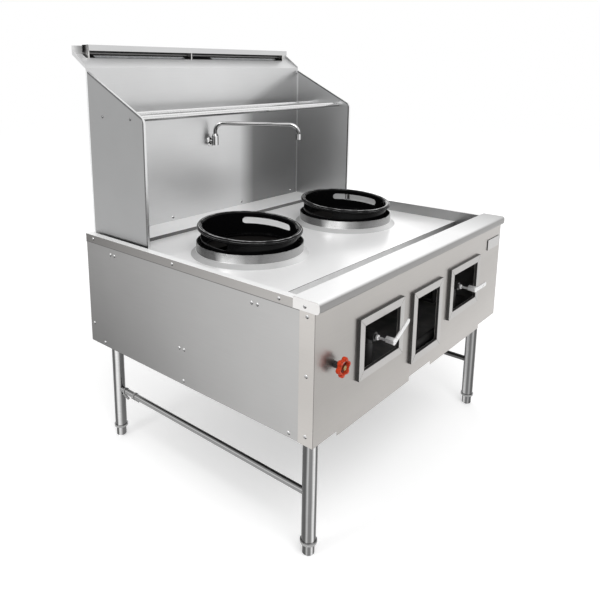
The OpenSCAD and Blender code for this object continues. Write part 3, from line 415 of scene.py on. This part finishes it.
def front_sheet():
    """Front sheet in painted light: lighter to the right, at the top and the foot and round the corners, and
    unpolished inside.

    A dark line runs along the corner folds."""
    mat = Mat("brushed_steel_front")
    fade_top, fade_foot = 0.12, 0.10
    x, z = mat.axis("X"), mat.axis("Z")
    # Painted light: lighter round the corners, to the right, at the top and at the foot
    corner = mat.span(mat.size(mat.facing("X")), 0.4, 0.6, 0.0, 0.10)
    tone = mat.plus(mat.span(x, -HALF_WIDTH, HALF_WIDTH, 0.335, 0.42), corner)
    tone = mat.plus(tone, mat.span(z, BAND_FOOT - fade_top, BAND_FOOT, 0.0, 0.05))
    tone = mat.plus(tone, mat.span(z, SHADE_FOOT, SHADE_FOOT + fade_foot, 0.035, 0.0))
    fold = mat.span(mat.size(x), HALF_WIDTH - DARK_LINE_START, HALF_WIDTH - DARK_LINE_END, 0.0, 0.55)
    fold = mat.times(fold, mat.span(mat.facing("Y"), -0.5, -0.8))
    tone = mat.times(tone, mat.minus(1.0, fold))
    return brushed(mat, tone, 0.33, LEVEL_GRAIN, 0.042, mat.span(mat.facing("Y"), 0.4, 0.6))


def frame_sheet():
    """Window frames: brushed faces, and painted shade on the dark folded sides."""
    mat = Mat("brushed_steel_frames")
    face = mat.span(mat.facing("Y"), -0.5, -0.8)
    # Painted shade: the sides much darker than the faces
    tone = mat.span(face, 0.0, 1.0, 0.05, 0.43)
    return brushed(mat, tone, 0.32, FINE_GRAIN, 0.022, metal=mat.span(face, 0.0, 1.0, 0.3, 1.0))


def plate_sheet():
    """Bare plate: a brushed face, and painted shade on its dark edges."""
    mat = Mat("brushed_steel_plate")
    # Painted shade on the edges
    return brushed(mat, mat.span(mat.facing("Y"), -0.5, -0.85, 0.05, 0.50), 0.30, FINE_GRAIN, 0.015)


def rear_sheet():
    """Rear sheet: duller steel, unpolished inside."""
    mat = Mat("rear_sheet")
    return brushed(mat, 0.40, 0.38, LEVEL_GRAIN, 0.01, mat.span(mat.facing("Y"), -0.4, -0.6))


def hob_sheet():
    """Hob in painted light and shade: a pale satin top, greyer slopes, dark uprights, and steel on the folded
    edge band that darkens towards the rear.
    """
    mat = Mat("satin_steel_hob")
    dark_front, pale_rear = -0.45, 0.10
    band = mat.span(mat.times(mat.facing("X"), mat.axis("X")), 0.4, 0.5)
    # Painted reflection: the edge band darker towards the rear
    stops = ((0.0, 0.40), (0.2, 0.35), (0.55, 0.25), (1.0, 0.15))
    side = mat.ramp(mat.span(mat.axis("Y"), FRONT, REAR), stops)
    upright = mat.span(mat.size(mat.facing("Z")), 0.7, 0.4)
    lines = mat.noise((7, 420, 7), 2.0, 0.7)
    # Painted light: the top pale, nearly white
    pale = mat.mix(mat.span(mat.noise(3), 0.3, 0.7), grey(0.95), grey(0.97))
    pale = mat.mix(mat.span(lines, 0.3, 0.7, 0.0, 0.015), pale, grey(0.6))
    # Painted shade on the slopes, most on those facing left
    slope = mat.mix(mat.span(mat.facing("X"), 0.1, -0.25), grey(0.74), grey(0.46))
    pale = mat.mix(mat.span(mat.facing("Z"), 0.97, 0.80), pale, slope)
    # Painted shade on the uprights, darker at the front and darkest on those facing front or rear
    inner = mat.mix(mat.span(mat.axis("Y"), dark_front, pale_rear), grey(0.20), grey(0.52))
    inner = mat.mix(mat.span(mat.size(mat.facing("Y")), 0.4, 0.7), inner, grey(0.17))
    pale = mat.mix(upright, pale, inner)
    colour = mat.mix(band, pale, mat.tint(side, 0.032))
    mat.metal(mat.larger(mat.span(band, 0.0, 1.0, 0.25, 1.0), upright))
    return mat.finish(colour, mat.span(lines, 0.3, 0.7, 0.325, 0.335), 0.0015)


def rail_sheet():
    """Front rail in painted light and shade: a pale satin top that is greyer to the right, a dark steel nose.
    """
    mat = Mat("satin_steel_rail")
    grey_start = 0.25
    top = mat.span(mat.facing("Z"), 0.25, 0.9)
    lines = mat.noise((7, 1300, 1300), 2.0, 0.7)
    # Painted light and shade: a dark nose, a pale top that greys towards the right
    nose = mat.mix(mat.across(HALF_WIDTH), grey(0.25, 0.015), grey(0.29, 0.015))
    pale = mat.mix(mat.span(mat.noise(4), 0.3, 0.7), grey(0.90), grey(0.95))
    pale = mat.mix(mat.span(mat.axis("X"), grey_start, HALF_WIDTH), pale, grey(0.48))
    colour = mat.mix(top, nose, pale)
    colour = mat.mix(mat.span(lines, 0.3, 0.7, 0.0, 0.06), colour, grey(0.5))
    mat.metal(mat.span(top, 0.0, 1.0, 1.0, 0.25))
    return mat.finish(colour, mat.span(lines, 0.3, 0.7, 0.33, 0.40), 0.0015)


def collar_steel():
    """Turned collar: painted reflections in soft bright and dark bands round it, and painted shade inside."""
    mat = Mat("turned_steel_collar")
    bands_across = (0.63, -0.78, 0.0)
    x, y = mat.axis("X"), mat.axis("Y")
    wave = mat.noise(9, 2.0, 0.5)
    # Painted reflections in bands round the collar
    place = mat.span(mat.dot(mat.normal(), bands_across), -1.0, 1.0)
    place = mat.plus(place, mat.span(wave, 0.3, 0.7, -0.02, 0.02))
    lines = mat.noise((30, 30, 1500), 2.0)
    colour = mat.mix(mat.span(lines, 0.3, 0.7, 0.0, 0.05), mat.ramp(place, TURNED), grey(0.35))
    # Below 0 where the surface looks towards the middle of its own collar, left or right
    outward_x = mat.times(mat.minus(mat.size(x), COLLAR_MID.x), mat.facing("X"))
    outward_y = mat.times(mat.minus(y, COLLAR_MID.y), mat.facing("Y"))
    outward = mat.plus(mat.times(outward_x, mat.math("SIGN", x)), outward_y)
    # Painted shade on the faces that look into the collar
    colour = mat.mix(mat.span(outward, -0.02, -0.06), colour, grey(0.012))
    return mat.finish(colour, mat.span(lines, 0.3, 0.7, 0.24, 0.30), 0.0008)


def wing_sheet():
    """Wings: matt brushed, the right one paler with painted light, with painted highlights on the cut edges.

    The hem's fold has a painted shade line along the front edges, and the joint with the back sheet shows
    pale."""
    mat = Mat("brushed_steel_wing")
    hem_out, hem_in = 0.0075, 0.0055
    joint_start, joint_end = WING_REAR - 0.006, WING_REAR - 0.004
    left, right = -0.1, 0.1
    y, z = mat.axis("Y"), mat.axis("Z")
    sloping_edge = mat.minus(WING_TOP, mat.times(mat.minus(WING_REAR, y), WING_SLOPE))
    gap = mat.smaller(mat.minus(sloping_edge, z), mat.minus(y, WING_FRONT))
    side = mat.size(mat.facing("X"))
    face = mat.span(side, 0.6, 0.8)
    # Painted light: the right wing paler than the left
    tone = mat.mix(mat.span(mat.axis("X"), left, right), grey(0.345), grey(0.57))
    # Painted shade along the hem's fold
    tone = mat.mix(mat.times(mat.span(gap, hem_out, hem_in), face), tone, grey(0.14))
    # Painted highlight on the cut edges
    tone = mat.mix(mat.span(side, 0.7, 0.4), tone, grey(0.80))
    tone = mat.mix(mat.times(mat.span(y, joint_start, joint_end), face), tone, grey(0.9))
    return brushed(mat, mat.level(tone), 0.30, (1300, 7, 7), -0.004)


def painted_slot_shade(mat, tone):
    """Painted shade: darkens what lies behind the flue cap's front, where gas comes out, as a dark band for
    the shaded slot opening.
    """
    shade_start, shade_end = CAP_FRONT + 0.018, CAP_FRONT + 0.021
    end_fade = 0.001
    # Painted shade for the slot opening
    under = mat.span(mat.axis("Y"), shade_start, shade_end)
    under = mat.times(under, mat.span(mat.size(mat.axis("X")), CAP_END - end_fade, CAP_END, 1.0, 0.0))
    under = mat.times(under, mat.span(mat.facing("Y"), 0.5, 0.2))
    return mat.times(tone, mat.minus(1.0, mat.times(under, 0.96)))


def back_sheet():
    """Back sheet: a satin mirror, less so low down, with painted light on the sloping kick-back and painted
    shade round the flue slots.

    Its right part is darker with a painted reflection, beyond an edge that leans to the right, and most so low
    down."""
    mat = Mat("satin_steel_back", specular=0.1)
    dark_foot, dark_top = 0.22, 0.55
    fade_before, fade_after, fade_low = -0.05, 0.04, WING_SHOULDER - 0.1
    mirror_foot, mirror_top = 0.82, 1.06
    x, z = mat.axis("X"), mat.axis("Z")
    kick = mat.span(mat.facing("Z"), 0.3, 0.6)
    # Painted light and shade across the sheet
    tone = mat.ramp(mat.across(BACK_END), ((0.0, 0.62), (0.55, 0.70), (0.68, 0.66), (1.0, 0.60)))
    # Painted reflection: the right part darker
    past_edge = mat.minus(x, mat.span(z, WING_SHOULDER, WING_TOP, dark_foot, dark_top))
    dark = mat.span(past_edge, fade_before, fade_after)
    dark = mat.times(dark, mat.span(z, fade_low, WING_TOP, 0.62, 0.04))
    tone = mat.times(tone, mat.minus(1.0, dark))
    # Painted light on the sloping kick-back
    tone = mat.plus(tone, mat.times(kick, 0.12))
    metal = mat.smaller(mat.span(kick, 0.0, 1.0, 1.0, 0.35), mat.span(z, mirror_foot, mirror_top, 0.60, 1.0))
    return brushed(mat, painted_slot_shade(mat, tone), 0.33, LEVEL_GRAIN, -0.003, metal=metal)


def lip_sheet():
    """Lip behind the flue slots: painted shade under the cap, with a lighter strip half way up.

    It is satin beyond the cap's ends, with painted shade that greys it close to them."""
    mat = Mat("satin_steel_lip", metallic=0.35, specular=0.1)
    end_fade, grey_reach = 0.004, 0.030
    x = mat.size(mat.axis("X"))
    under_cap = mat.span(x, UNDER_CAP_END - end_fade, UNDER_CAP_END, 1.0, 0.0)
    front = mat.span(mat.facing("Y"), 0.5, 0.2)
    # Painted shade greys the lip close to the cap's ends
    open_tone = mat.shade(mat.minus(0.72, mat.span(x, UNDER_CAP_END, UNDER_CAP_END + grey_reach, 0.35, 0.0)))
    height = mat.span(mat.axis("Z"), LIP_FOOT, CAP_FOOT)
    # Painted shade under the cap: dark bands above and below a lighter strip
    strip = mat.ramp(height, ((0.0, 0.02), (0.26, 0.02), (0.34, 0.30), (0.56, 0.30), (0.66, 0.02)))
    colour = mat.mix(mat.times(under_cap, front), open_tone, strip)
    streak = mat.noise((60, 60, 9))
    colour = mat.mix(mat.span(streak, 0.45, 0.75, 0.0, 0.2), colour, grey(0.25, 0.05))
    return mat.finish(colour, mat.span(streak, 0.3, 0.7, 0.34, 0.42), 0.0008)


def cap_sheet():
    """Flue cap: satin outside, painted shade inside."""
    mat = Mat("satin_steel_cap")
    outer_skin, inner_skin = 0.0185, 0.0178
    away = mat.minus(mat.axis("Y"), CAP_MID)
    inner = mat.span(mat.times(away, mat.facing("Y")), -0.001, -0.004)
    inner = mat.larger(inner, mat.span(mat.facing("Z"), -0.3, -0.6))
    inner = mat.larger(inner, mat.span(mat.size(away), outer_skin, inner_skin))
    top = mat.span(mat.facing("Z"), 0.5, 0.8)
    inner = mat.times(inner, mat.minus(1.0, top))
    # Painted shade on the inner faces
    tone = mat.minus(0.62, mat.times(inner, 0.60))
    return brushed(mat, tone, 0.30, LEVEL_GRAIN, -0.003)


def gutter_sheet():
    """Gutter: stained pressed sheet, with painted shade that makes it greyer than the hob and darker towards
    its right end.
    """
    mat = Mat("satin_steel_gutter", metallic=0.15)
    lines = mat.noise((420, 7, 7), 2.0, 0.7)
    stain = mat.noise((14, 30, 14), 4.0)
    # Painted shade, deepest at the right end
    tone = mat.ramp(mat.across(GUTTER_END), ((0.0, 0.84), (0.6, 0.76), (0.85, 0.42), (1.0, 0.14)))
    colour = mat.mix(1.0, tone, mat.mix(mat.span(stain, 0.35, 0.7), grey(1.0), grey(0.92)), "MULTIPLY")
    colour = mat.mix(mat.span(lines, 0.3, 0.7, 0.0, 0.06), colour, grey(0.35))
    return mat.finish(colour, mat.span(lines, 0.3, 0.7, 0.34, 0.42), 0.001)


def screw_steel():
    """Dome screws: grey crown, flank with a painted highlight above and painted shade below, and painted shade
    on the splashback.
    """
    mat = Mat("screw_steel")
    body_top, splashback_foot = 0.9, 1.0
    crown = mat.span(mat.larger(mat.size(mat.facing("X")), mat.size(mat.facing("Y"))), 0.86, 0.97)
    specks = mat.noise(900, 2.0, 0.5)
    # Painted highlight above and painted shade below
    flank = mat.mix(mat.span(mat.facing("Z"), -0.15, 0.25), grey(0.02), grey(0.70))
    colour = mat.mix(crown, flank, grey(0.26))
    # Painted shade on the splashback's screws
    colour = mat.mix(mat.span(mat.axis("Z"), body_top, splashback_foot, 0.0, 0.75), colour, grey(0.10))
    colour = mat.mix(mat.span(specks, 0.5, 0.7, 0.0, 0.2), colour, grey(0.2))
    return mat.finish(colour, mat.span(specks, 0.3, 0.7, 0.16, 0.28), bump=(specks, 0.00005, 0.1))


def black_enamel():
    """Glossy black, with painted highlights in thin lines along the bead's crest and its outer flank."""
    mat = Mat("black_enamel", metallic=0.0, specular=0.10)
    bead_fade = 0.004
    flow = mat.noise(34, 2.0, 0.5)
    specks = mat.noise(700, 2.0, 0.5)
    up = mat.plus(mat.facing("Z"), mat.span(flow, 0.3, 0.7, -0.05, 0.05))
    bead = mat.span(mat.axis("Z"), BEAD_FOOT, BEAD_FOOT + bead_fade)
    flank = ((0.0, 0.0), (0.20, 0.0), (0.27, 0.30), (0.34, 0.0))
    crest = ((0.86, 0.0), (0.93, 0.55), (0.965, 0.50), (1.0, 0.0))
    # Painted highlight lines on the bead's crest and outer flank
    bare = mat.ramp(up, flank + crest)
    colour = mat.mix(mat.span(specks, 0.62, 0.72, 0.0, 0.5), (0.003, 0.003, 0.0033), (0.012, 0.012, 0.013))
    # Where the painted highlights show along the bead
    worn = mat.times(bead, mat.span(flow, 0.42, 0.60, 0.15, 1.0))
    colour = mat.mix(worn, colour, mat.mix(1.0, colour, bare, "ADD"))
    return mat.finish(colour, mat.span(flow, 0.3, 0.7, 0.10, 0.16), 0.0012, (flow, 0.0004, 0.2))


def red_paint():
    """Handwheel: blotchy red paint, chipped along its edges, with painted shade between hub and rim and on the
    back.
    """
    mat = Mat("red_paint", metallic=0.0, specular=0.18)
    blot = mat.noise(120)
    chip = mat.times(mat.edges(0.0025), mat.span(mat.noise(330), 0.5, 0.62))
    colour = mat.mix(mat.span(blot, 0.35, 0.7), (0.72, 0.058, 0.014), (0.42, 0.036, 0.006))
    x = mat.minus(mat.axis("X"), WHEEL_MID.x)
    z = mat.minus(mat.axis("Z"), WHEEL_MID.z)
    reach = mat.math("SQRT", mat.plus(mat.math("POWER", x, 2.0), mat.math("POWER", z, 2.0)))
    reach = mat.math("DIVIDE", reach, WHEEL_R)
    recess = mat.times(mat.span(reach, 0.26, 0.30), mat.span(reach, 0.52, 0.58, 1.0, 0.0))
    # Painted shade in the recess between hub and rim
    colour = mat.mix(mat.times(recess, 0.88), colour, (0.03, 0.012, 0.008))
    colour = mat.mix(chip, colour, (0.10, 0.07, 0.05))
    # Painted shade on the back
    colour = mat.mix(mat.span(mat.facing("Y"), 0.1, 0.5), colour, (0.02, 0.012, 0.010))
    return mat.finish(colour, mat.span(blot, 0.3, 0.7, 0.24, 0.4), 0.001, (blot, 0.0005, 0.4))


def brass():
    """Stained brass."""
    mat = Mat("worn_brass")
    stain = mat.noise(150, 4.0)
    colour = mat.mix(mat.span(stain, 0.35, 0.7), (0.42, 0.30, 0.12), (0.14, 0.09, 0.04))
    return mat.finish(colour, mat.span(stain, 0.3, 0.7, 0.22, 0.45), 0.0006, (stain, 0.0003, 0.3))


def valve_paint():
    """Gas valves: dark body, plated nose round the spindle."""
    mat = Mat("black_valve", metallic=0.3, specular=0.3)
    body_start, nose_end = VALVE_FRONT + 0.006, VALVE_FRONT + 0.004
    blot = mat.noise(90)
    patch = mat.span(blot, 0.35, 0.7)
    nose = mat.span(mat.axis("Y"), body_start, nose_end)
    colour = mat.mix(nose, mat.mix(patch, grey(0.02), grey(0.04)), mat.mix(patch, grey(0.75), grey(0.5)))
    return mat.finish(colour, mat.span(blot, 0.3, 0.7, 0.3, 0.45), 0.0006, (blot, 0.0003, 0.3))


def galvanised():
    """Zinc-coated sheet and pipe with a spangle of small crystals."""
    mat = Mat("galvanised_steel")
    spangle = mat.node("TexVoronoi")
    spangle.inputs["Scale"].default_value = 130.0
    mat.link(mat.where, spangle.inputs["Vector"])
    cells = mat.node("SeparateColor")
    mat.link(spangle.outputs["Color"], cells.inputs["Color"])
    tone, gloss = cells.outputs["Red"], cells.outputs["Green"]
    colour = mat.mix(tone, (0.30, 0.31, 0.32), (0.40, 0.41, 0.42))
    return mat.finish(colour, mat.span(gloss, 0.0, 1.0, 0.34, 0.48), bump=(tone, 0.0001, 0.2))


POLISHED, CHROME = 0.13, 0.08
legs = {
    "front_left": banded("polished_tube_front_left", (0.60, -0.80, 0.0), FRONT_LEFT, POLISHED, "Z"),
    "rear_left": banded("polished_tube_rear_left", (0.835, -0.55, 0.0), REAR_LEFT, POLISHED, "Z"),
    "front_right": banded("polished_tube_front_right", (0.357, -0.934, 0.0), FRONT_RIGHT, POLISHED, "Z"),
}
legs["rear_right"] = legs["front_left"]
tube_y = banded("polished_tube_fore_aft", (-0.685, 0.0, -0.729), FORE_AFT, POLISHED, "Y")
shaded_y = banded("polished_tube_shaded", (-0.428, 0.0, -0.904), SHADED, POLISHED, "Y")
tube_x = banded("polished_tube_across", (0.0, -0.305, -0.952), ACROSS, 0.12, "X")
spout = banded("chrome_spout", (0.0, 0.0, -1.0), SPOUT, CHROME, "X", own=True)
barrel = banded("chrome_barrel", (0.656, -0.755, 0.0), BARREL, CHROME, "Z")
trim = brushed(Mat("brushed_steel_trim"), 0.66, 0.30, FINE_GRAIN, 0.015)

# Each finish with the nodes that have it
finishes = {
    side_sheet(): ["left_panel", "right_panel"],
    front_sheet(): ["front_panel"],
    frame_sheet(): ["left_window_frame", "centre_window_frame", "right_window_frame"],
    back_sheet(): ["back_panel"],
    lip_sheet(): ["flue_lip"],
    cap_sheet(): ["flue_cap"],
    wing_sheet(): ["left_wing", "right_wing"],
    hob_sheet(): ["hob_top"],
    gutter_sheet(): ["gutter"],
    rail_sheet(): ["front_rail"],
    trim: ["left_rail_cap", "right_rail_cap", "flue_spacers"],
    screw_steel(): ["panel_screws"],
    collar_steel(): ["left_collar", "right_collar"],
    satin_plate("plated_socket", 0.30, 0.42, 0.22): ["foot_sockets"],
    satin_plate("plated_fitting", 0.22, 0.36, 0.22): ["stretcher_fittings"],
    satin_plate("plated_lever", 0.62, 0.86, 0.30): ["left_lever", "right_lever"],
    tube_y: ["left_stretcher"],
    shaded_y: ["right_stretcher"],
    tube_x: ["front_rack_tube", "rear_rack_tube"],
    rear_sheet(): ["rear_panel"],
    galvanised(): ["left_flue_duct", "right_flue_duct", "water_pipes"],
    dark_paint("black_pipe", 0.02, 0.04): ["left_gas_feed", "right_gas_feed", "gas_manifold", "water_valve"],
    dark_paint("grey_base_paint", 0.12, 0.20): ["base_frame", "base_pan"],
    valve_paint(): ["left_gas_valve", "right_gas_valve"],
    black_enamel(): ["left_wok_ring", "right_wok_ring"],
    cast("cast_iron", 0.008, 0.62): ["left_fire_pot", "right_fire_pot"],
    cast("burner_iron", 0.010, 0.55, 320.0): ["left_burner", "right_burner"],
    spout: ["spout"],
    barrel: ["tap_flange", "tap_body", "spout_nozzle"],
    red_paint(): ["handwheel"],
    brass(): ["handwheel_spindle"],
}
for corner, material in legs.items():
    finishes.setdefault(material, []).extend([corner + "_leg", corner + "_foot"])
left_over = set(nodes)
for material, names in finishes.items():
    for name in names:
        slots = nodes[name].data.materials
        slots.clear()
        slots.append(material)
        left_over.remove(name)
assert not left_over, left_over


# A bare plate on the front panel, at its upper right

PLATE_LEFT, PLATE_RIGHT = 0.480, 0.586
PLATE_FOOT, PLATE_TOP = 0.671, 0.711
PLATE_THICK, PLATE_BEVEL = 0.0030, 0.0009


def bare_plate():
    lo = Vector((PLATE_LEFT, FRONT - PLATE_THICK, PLATE_FOOT))
    hi = Vector((PLATE_RIGHT, FRONT, PLATE_TOP))
    bm = bmesh.new()
    for v in bmesh.ops.create_cube(bm, size=1.0)["verts"]:
        v.co = Vector(a + (b - a) * (c + 0.5) for a, b, c in zip(lo, hi, v.co))
    bmesh.ops.bevel(bm, geom=bm.edges[:], offset=PLATE_BEVEL, segments=3, profile=0.5, affect="EDGES")
    mesh = bpy.data.meshes.new("bare_plate")
    bm.to_mesh(mesh)
    bm.free()
    mesh.materials.append(plate_sheet())
    plate = bpy.data.objects.new("bare_plate", mesh)
    scene.collection.objects.link(plate)
    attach(plate, "range_body")


bare_plate()


# Floor, light and camera

FLOOR_RADIUS, FLOOR_TONE, FLOOR_GLOW = 14.0, 0.90, 0.32
WORLD_LIGHT, WORLD_SEEN = 0.75, 1.0


def studio_floor():
    """A round matt floor that keeps the shadow and looks nearly white."""
    bm = bmesh.new()
    bmesh.ops.create_circle(bm, cap_ends=True, segments=96, radius=FLOOR_RADIUS)
    mesh = bpy.data.meshes.new("floor")
    bm.to_mesh(mesh)
    bm.free()
    material = bpy.data.materials.new("pale_floor")
    graph = Graph(material)
    matt, glow, both = graph.node("BsdfDiffuse"), graph.node("Emission"), graph.node("AddShader")
    matt.inputs["Color"].default_value = (*grey(FLOOR_TONE), 1.0)
    graph.link(graph.times(graph.seen(), FLOOR_GLOW), glow.inputs["Strength"])
    graph.link(matt.outputs["BSDF"], both.inputs[0])
    graph.link(glow.outputs["Emission"], both.inputs[1])
    graph.link(both.outputs["Shader"], graph.node("OutputMaterial").inputs["Surface"])
    mesh.materials.append(material)
    floor = bpy.data.objects.new("floor", mesh)
    scene.collection.objects.link(floor)


def studio_world():
    """A white surround that gives a little less light than it shows."""
    scene.world = bpy.data.worlds.new("studio")
    graph = Graph(scene.world)
    sky = graph.node("Background")
    sky.inputs["Color"].default_value = (1, 1, 1, 1)
    graph.link(graph.span(graph.seen(), 0.0, 1.0, WORLD_LIGHT, WORLD_SEEN), sky.inputs["Strength"])
    graph.link(sky.outputs["Background"], graph.node("OutputWorld").inputs["Surface"])


def softbox(name, at, target, size, power):
    """A rectangular lamp that the camera doesn't see, turned to a target."""
    lamp = bpy.data.lights.new(name, "AREA")
    lamp.shape = "RECTANGLE"
    lamp.size, lamp.size_y = size
    lamp.energy = power
    box = bpy.data.objects.new(name, lamp)
    box.location = at
    box.rotation_euler = (Vector(target) - Vector(at)).to_track_quat("-Z", "Y").to_euler()
    box.visible_camera = False
    scene.collection.objects.link(box)


def photo_camera():
    """The camera at the photo's viewing angle."""
    lens = bpy.data.cameras.new("camera")
    lens.sensor_width = 36.0
    lens.lens = 37.007
    lens.shift_x, lens.shift_y = 0.0507, -0.1661
    lens.clip_end = 100
    at = Vector((-1.7443, -1.35295, 1.3461))
    right = Vector((0.6557, -0.75501, 0.0044))
    down = Vector((-0.15213, -0.13783, -0.9787))
    ahead = Vector((0.73954, 0.64106, -0.20523))
    camera = bpy.data.objects.new("camera", lens)
    camera.matrix_world = Matrix.Translation(at) @ Matrix((right, -down, -ahead)).transposed().to_4x4()
    scene.collection.objects.link(camera)
    scene.camera = camera


studio_floor()
studio_world()
softbox("key", at=(-1.6, -2.6, 4.2), target=(0, 0, 0.7), size=(2.6, 2.6), power=70)
softbox("rear_right", at=(4.6, 3.9, 1.9), target=(0, 0, 0.7), size=(3.4, 2.4), power=40)
softbox("left_strip", at=(-3.4, 0.6, 2.4), target=(0, 0, 0.8), size=(0.7, 2.6), power=20)
photo_camera()
